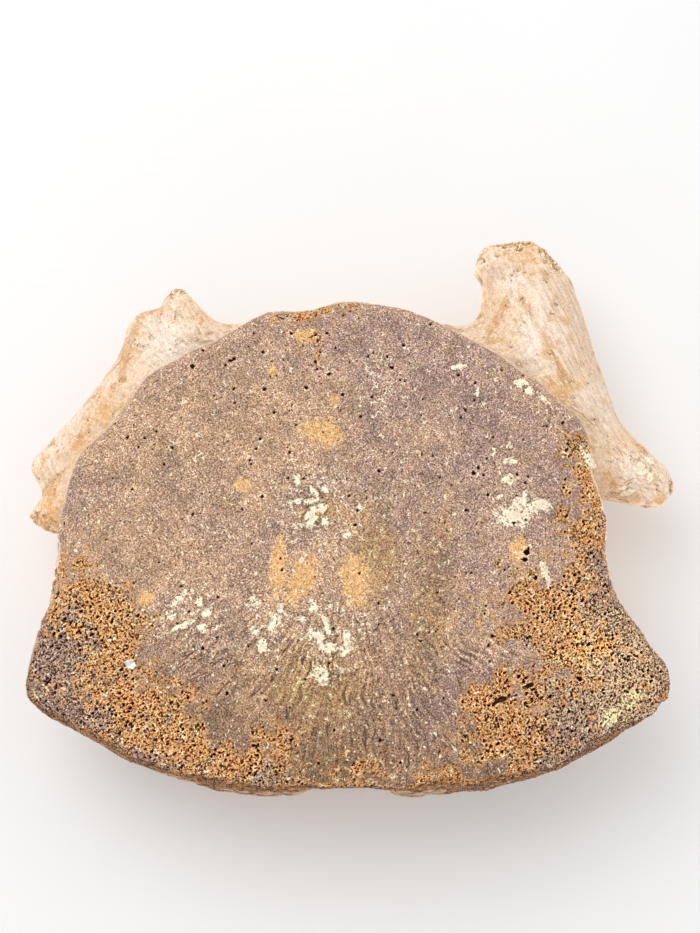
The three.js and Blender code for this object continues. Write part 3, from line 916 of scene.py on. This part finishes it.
def face_colour(shader):
    """Brown joint face: mauve and tan flecks, orange and white specks, rust stains."""
    mauve = speckled(shader, MAUVE_TONES)
    tan = speckled(shader, TAN_TONES)
    tan_share = shader.math("ADD", shader.grain(MOTTLE), shader.grain(MEDIUM))
    tan_share = shader.math("ADD", tan_share, shader.times(shader.mask("tan"), 0.3))
    face = shader.blend(shader.ramp(tan_share, 0.75, 1.4), mauve, tan)
    flecks = shader.grain(FLECKS)
    face = shader.blend(shader.ramp(flecks, 0.58, 0.7, 0.0, 0.7), face, tone(ORANGE_FLECKS))
    face = shader.blend(shader.ramp(flecks, 0.42, 0.3, 0.0, 0.6), face, tone(DARK_FLECKS))
    for size_mm, amount in ((COARSE, 0.22), (MOTTLE, 0.1)):
        shade = shader.ramp(shader.grain(size_mm), 0.3, 0.7, 1 - amount, 1 + amount)
        face = shader.blend(1.0, face, shade, "MULTIPLY")
    speck_places = shader.ramp(shader.grain(COARSE), 0.45, 0.6)
    specks = shader.times(shader.ramp(shader.grain(SMALL), 0.66, 0.74), speck_places)
    face = shader.blend(specks, face, tone(WHITE_SPECKS))
    olive_share = shader.broken(shader.mask("olive"), {COARSE: 0.6, SMALL: 0.6}, 0.35, 0.9)
    face = shader.blend(shader.times(olive_share, 0.5), face, tone(OLIVE_WASH), "MULTIPLY")
    olive_specks = shader.times(olive_share, shader.ramp(shader.grain(FLECKS), 0.48, 0.64, 0.0, 0.7))
    face = shader.blend(olive_specks, face, tone(OLIVE_SPECKS))
    # Darker towards the bottom of the front face
    face = shader.blend(shader.times(shader.mask("darker_towards_bottom"), 0.5), face, tone(BOTTOM_DARKENING), "MULTIPLY")
    rusty = speckled(shader, RUST_TONES)
    rust_share = shader.broken(shader.mask("rust"), {MEDIUM: 0.6, SMALL: 0.6}, 0.4, 0.66)
    halo_share = shader.broken(shader.mask("spongy"), {MEDIUM: 0.5, SMALL: 0.9}, 0.3, 0.8)
    face = shader.blend(shader.times(halo_share, 0.6), face, tone(RUST_HALO))
    return shader.blend(rust_share, face, rusty)


def spongy_depth(shader):
    """How deep in the cells of the spongy bone a point lies: 0 on the walls, 1 in the holes. The colours turn
    it into a painted highlight on the walls and painted shade in the holes.
    """
    small = shader.ramp(shader.dots(0.9, shader.wandering(1.2, 0.3)), 0.38, 0.14, 0.0, 0.7)
    cells = shader.math("MAXIMUM", small, shader.mask("hollow"))
    walls = shader.ramp(shader.ridges(SMALL), 0.0, 0.16, -0.5, 0.15)
    uneven = shader.math("ADD", walls, shader.ramp_straight(shader.grain(FINE), -0.7, 1.43))
    return shader.math("ADD", cells, uneven)


# The bone's own orange, gold and drab hues, each stepping from a painted highlight on the walls to painted
# shade in the holes
def spongy_colour(shader, depth):
    gold_share = shader.ramp(shader.math("ADD", shader.grain(FLECKS), shader.grain(COARSE)), 0.85, 1.15)
    grey = shader.ramp_straight(shader.mask("grey"), 0.08, 0.9)
    grey_share = shader.broken(grey, {COARSE: 1.3, MEDIUM: 1.5, SMALL: 0.6}, 0.3, 0.75)
    colour = None
    steps = (0,) + SPONGY_SHADE_STEPS
    for step, orange, gold, drab in zip(steps, ORANGE_LIT_TO_SHADED, GOLD_LIT_TO_SHADED, DRAB_LIT_TO_SHADED):
        level = shader.blend(grey_share, shader.blend(gold_share, tone(orange), tone(gold)), tone(drab))
        colour = shader.blend(shader.ramp(depth, step - 0.2, step), colour, level) if colour else level
    corner_share = shader.broken(shader.mask("corner"), {COARSE: 0.8, MEDIUM: 0.8}, 0.3, 0.8)
    return shader.blend(corner_share, colour, CORNER_GAIN, "MULTIPLY")


def smooth_colour(shader):
    """Pale bone of the arch stumps and the sides: cream with fine lines, ochre and white places."""
    arch_lines, arm_lines, process_lines = (
        shader.noise(shader.stretched(turn, LINE_STRETCH), LINE_WIDTH)
        for turn in (ARCH_GRAIN_TURN, ARM_GRAIN_TURN, PROCESS_GRAIN_TURN)
    )
    lines = shader.add("ShaderNodeMix", {0: shader.mask("arm"), 2: arch_lines, 3: arm_lines}).outputs[0]
    lines = shader.add("ShaderNodeMix", {0: shader.mask("process"), 2: lines, 3: process_lines}).outputs[0]
    colour = shader.blend(shader.ramp(shader.grain(MOTTLE), 0.35, 0.65), tone(DARK_CREAM), tone(LIGHT_CREAM))
    colour = shader.blend(shader.ramp(shader.grain(COARSE), 0.5, 0.66, 0.0, 0.8), colour, tone(SIDE_OCHRE))
    drab_share = shader.math("ADD", shader.grain(MEDIUM), shader.ramp_straight(shader.grain(COARSE), 1, 0))
    colour = shader.blend(shader.ramp(drab_share, 1.0, 1.3, 0.0, 0.45), colour, tone(SIDE_DRAB))
    stain_share = shader.broken(shader.mask("drum"), {MOTTLE: 1.4, COARSE: 1.0, FLECKS: 0.6}, 0.9, 1.5)
    colour = shader.blend(shader.times(stain_share, 0.75), colour, tone(SIDE_STAIN))
    for name, code, share in ARCH_COLOURS:
        place_share = shader.broken(shader.mask(name), {COARSE: 0.7, FLECKS: 1.1, SMALL: 0.8}, 0.35, 1.0)
        colour = shader.blend(shader.times(place_share, share), colour, tone(code))
    torn = speckled(shader, TORN_TONES)
    torn_share = shader.broken(shader.mask("torn"), {MEDIUM: 0.7, SMALL: 0.7}, 0.3, 0.8)
    colour = shader.blend(torn_share, colour, torn)
    colour = shader.blend(shader.ramp(lines, 0.47, 0.28, 0.0, 0.7), colour, tone(DARK_LINE))
    colour = shader.blend(shader.ramp(lines, 0.54, 0.72, 0.0, 0.7), colour, tone(LIGHT_LINE))
    colour = shader.blend(1.0, colour, shader.ramp(shader.grain(FINE), 0.3, 0.7, 0.82, 1.16), "MULTIPLY")
    # Painted shade along the creases
    crease_shade_share = shader.broken(shader.mask("crease_shade"), {SMALL: 0.6}, 0.3, 1.0)
    return shader.blend(shader.times(crease_shade_share, 0.7), colour, tone(CREASE_SHADE))


def crust_share(shader):
    """Scabs and chips, and a few specks where the crust is thin."""
    return shader.broken(shader.mask("crust"), {FLECKS: 2.0, SMALL: 1.4}, 0.6, 0.74)


def bone_material():
    shader = Shader("weathered_bone")
    joint_share = shader.math("MAXIMUM", shader.mask("front"), shader.mask("rear"))
    colour = shader.blend(joint_share, smooth_colour(shader), face_colour(shader))
    spongy_share = shader.broken(shader.mask("spongy"), {COARSE: 0.9, MEDIUM: 1.0, SMALL: 0.8}, 0.3, 0.7)
    colour = shader.blend(spongy_share, colour, spongy_colour(shader, spongy_depth(shader)))
    crust = speckled(shader, CRUST_TONES)
    crust = shader.blend(shader.ramp(shader.grain(MEDIUM), 0.45, 0.6, 0.0, 0.6), crust, tone(PINK_CRUST))
    crust = shader.blend(shader.times(shader.mask("corner"), 0.8), crust, tone(YELLOW_CRUST))
    crust = shader.blend(shader.ramp(shader.mask("crust"), 1.5, 1.8), crust, tone(WHITE_CHIP))
    colour = shader.blend(crust_share(shader), colour, crust)

    # Painted shade in hollows and painted highlight on what stands out
    shade_and_highlight_factor = shader.ramp(shader.mask("hollow_shade_and_highlight"), 0.0, 1.0, 0.5, 1.5)
    colour = shader.blend(1.0, colour, shade_and_highlight_factor, "MULTIPLY")
    # Painted shade in pores, cracks and foramina
    colour = shader.blend(shader.ramp(shader.mask("hole"), 0.15, 0.75), colour, tone(OPENING_SHADE))
    # Painted shade along the grooves' lines
    colour = shader.blend(shader.times(shader.mask("line"), 0.4), colour, tone(GROOVE_SHADE))
    colour = shader.blend(shader.times(shader.mask("under"), 0.7), colour, tone(LOWER_SIDE_WASH), "MULTIPLY")
    # Painted shade of tiny pores that the mesh doesn't carry
    pore_places = shader.times(shader.ramp(shader.grain(COARSE), 0.42, 0.55), joint_share)
    fine_pore_shade = shader.times(shader.ramp(shader.dots(2.3), 0.16, 0.09), pore_places)
    colour = shader.blend(fine_pore_shade, colour, tone(FINE_PORE_SHADE))

    inputs = {"Height": shader.grain(FINE), "Distance": 0.2 * MM, "Strength": 0.7}
    bump = shader.add("ShaderNodeBump", inputs)
    inputs = {"Base Color": colour, "Normal": bump.outputs["Normal"], "Specular IOR Level": 0.25}
    inputs["Roughness"] = shader.ramp(shader.grain(COARSE), 0.3, 0.7, 0.75, 0.95)
    surface = shader.add("ShaderNodeBsdfPrincipled", inputs)
    shader.add("ShaderNodeOutputMaterial", {"Surface": surface.outputs["BSDF"]})
    return shader.material


# Stage

def make_camera():
    lens = bpy.data.cameras.new("camera")
    lens.sensor_width = SENSOR_MM
    lens.lens = FOCAL_PX / PHOTO_HEIGHT * SENSOR_MM
    camera = bpy.data.objects.new("camera", lens)
    axes = Matrix((RIGHT, UP, BACK)).transposed().to_4x4()
    camera.matrix_world = Matrix.Translation(EYE) @ axes
    bpy.context.collection.objects.link(camera)
    bpy.context.scene.camera = camera


def make_floor():
    corners = [(x * FLOOR_HALF, y * FLOOR_HALF, 0) for x, y in ((-1, -1), (1, -1), (1, 1), (-1, 1))]
    mesh = bpy.data.meshes.new("floor")
    mesh.from_pydata(corners, [], [(0, 1, 2, 3)])
    shader = Shader("pale_floor")
    colour = shader.blend(shader.ramp(shader.grain(400), 0.3, 0.7), tone("f7f7f7"), tone("fbfbfb"))
    surface = shader.add("ShaderNodeBsdfPrincipled", {"Base Color": colour, "Roughness": 0.9})
    shader.add("ShaderNodeOutputMaterial", {"Surface": surface.outputs["BSDF"]})
    mesh.materials.append(shader.material)
    floor = bpy.data.objects.new("floor", mesh)
    bpy.context.collection.objects.link(floor)


def make_light(name, place, size, power):
    data = bpy.data.lights.new(name, "AREA")
    data.shape = "DISK"
    data.size = size
    data.energy = power
    light = bpy.data.objects.new(name, data)
    light.location = place
    light.rotation_euler = Vector(place).to_track_quat("Z", "Y").to_euler()
    bpy.context.collection.objects.link(light)


def make_sky():
    world = bpy.data.worlds.new("studio")
    world.use_nodes = True
    background = world.node_tree.nodes["Background"]
    background.inputs["Color"].default_value = tone("ffffff")
    background.inputs["Strength"].default_value = SKY_STRENGTH
    bpy.context.scene.world = world


make_camera()
make_floor()
make_sky()
for light in LIGHTS:
    make_light(*light)
bpy.context.scene.view_settings.view_transform = "Standard"

skin = make_skin()
store_masks(skin.data, add_relief(skin.data))
skin.data.materials.append(bone_material())
skin.data.shade_smooth()
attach(skin, "root")
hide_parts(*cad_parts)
